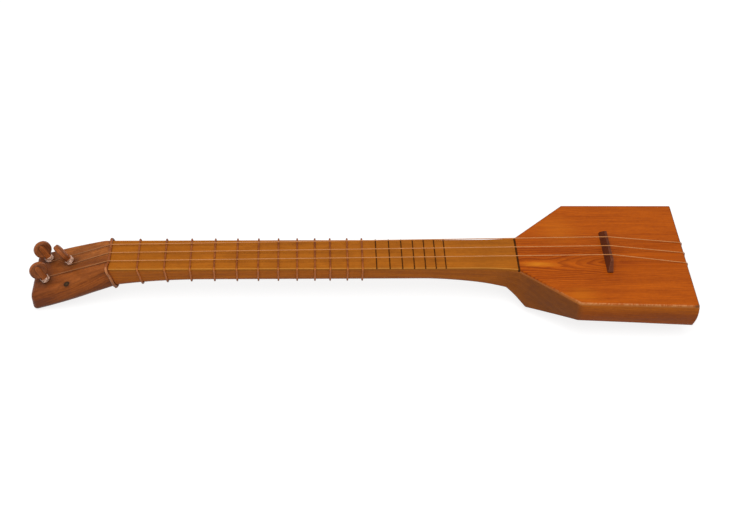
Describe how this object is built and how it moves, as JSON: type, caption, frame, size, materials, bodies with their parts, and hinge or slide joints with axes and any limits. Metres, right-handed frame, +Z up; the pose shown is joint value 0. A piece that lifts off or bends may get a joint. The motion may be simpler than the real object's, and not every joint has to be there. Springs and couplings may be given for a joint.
{
  "type": "folk lute",
  "caption": "Long-necked plucked folk lute with an angular carved body, tied and inlaid frets, a bent-back head with turning disc pegs, a loose bridge and strings held at the tail.",
  "frame": {"origin": "on the flat of the keel, straight below the end of the fret scale on the line of the neck", "axes": "+X from the head to the tail, +Y across the strings to the far side of the picture, +Z up out of the playing face"},
  "size_m": [0.7158, 0.1559, 0.0705],
  "materials": {
    "pale_wood": "satin varnish over a pale honey-coloured board",
    "neck_wood": "satin varnish, worn by the hand",
    "head_wood": "satin varnish over red-brown wood",
    "top_wood": "glossy orange-brown varnish over straight grain",
    "body_wood": "satin varnish over brown wood",
    "bare_wood": "bare planed wood",
    "dark_wood": "oiled dark wood",
    "peg_wood": "satin varnish, turned and filed",
    "fret_gut": "waxed red-brown cord",
    "string_nylon": "smooth, slightly glossy pale line",
    "pin_metal": "plain turned metal"
  },
  "bodies": {
    "lute": {"head": "head_wood", "neck": "neck_wood", "fingerboard": "pale_wood", "joint_strip": "dark_wood", "soundboard": "top_wood", "body_shell": "body_wood", "soundboard_brace": "bare_wood", "bridge": "dark_wood", "string_1": "string_nylon", "string_2": "string_nylon", "string_3": "string_nylon", "nut_cord": "fret_gut", "fret_cord_01": "fret_gut", "fret_cord_02": "fret_gut", "fret_cord_03": "fret_gut", "fret_cord_04": "fret_gut", "fret_cord_05": "fret_gut", "fret_cord_06": "fret_gut", "fret_cord_07": "fret_gut", "fret_cord_08": "fret_gut", "fret_cord_09": "fret_gut", "fret_cord_10": "fret_gut", "fret_cord_11": "fret_gut", "fret_cord_12": "fret_gut", "inlaid_fret_13": "dark_wood", "inlaid_fret_14": "dark_wood", "inlaid_fret_15": "dark_wood", "inlaid_fret_16": "dark_wood", "inlaid_fret_17": "dark_wood", "inlaid_fret_18": "dark_wood", "inlaid_fret_19": "dark_wood", "tail_pin_1": "pin_metal", "tail_pin_2": "pin_metal", "tail_pin_3": "pin_metal"},
    "far_peg": {"peg_1": "peg_wood"},
    "middle_peg": {"peg_2": "peg_wood"},
    "near_peg": {"peg_3": "peg_wood"}
  },
  "joints": [
    {"name": "far_peg_turn", "type": "hinge", "parent": "lute", "child": "far_peg", "pos_m": [-0.609, 0.0165, 0.03306], "axis": [-0.3665, 0, 0.9304], "continuous": true},
    {"name": "middle_peg_turn", "type": "hinge", "parent": "lute", "child": "middle_peg", "pos_m": [-0.5836, 0.0034, 0.04307], "axis": [-0.5075, 0, 0.8616], "continuous": true},
    {"name": "near_peg_turn", "type": "hinge", "parent": "lute", "child": "near_peg", "pos_m": [-0.609, -0.0145, 0.03306], "axis": [-0.3665, 0, 0.9304], "continuous": true}
  ]
}
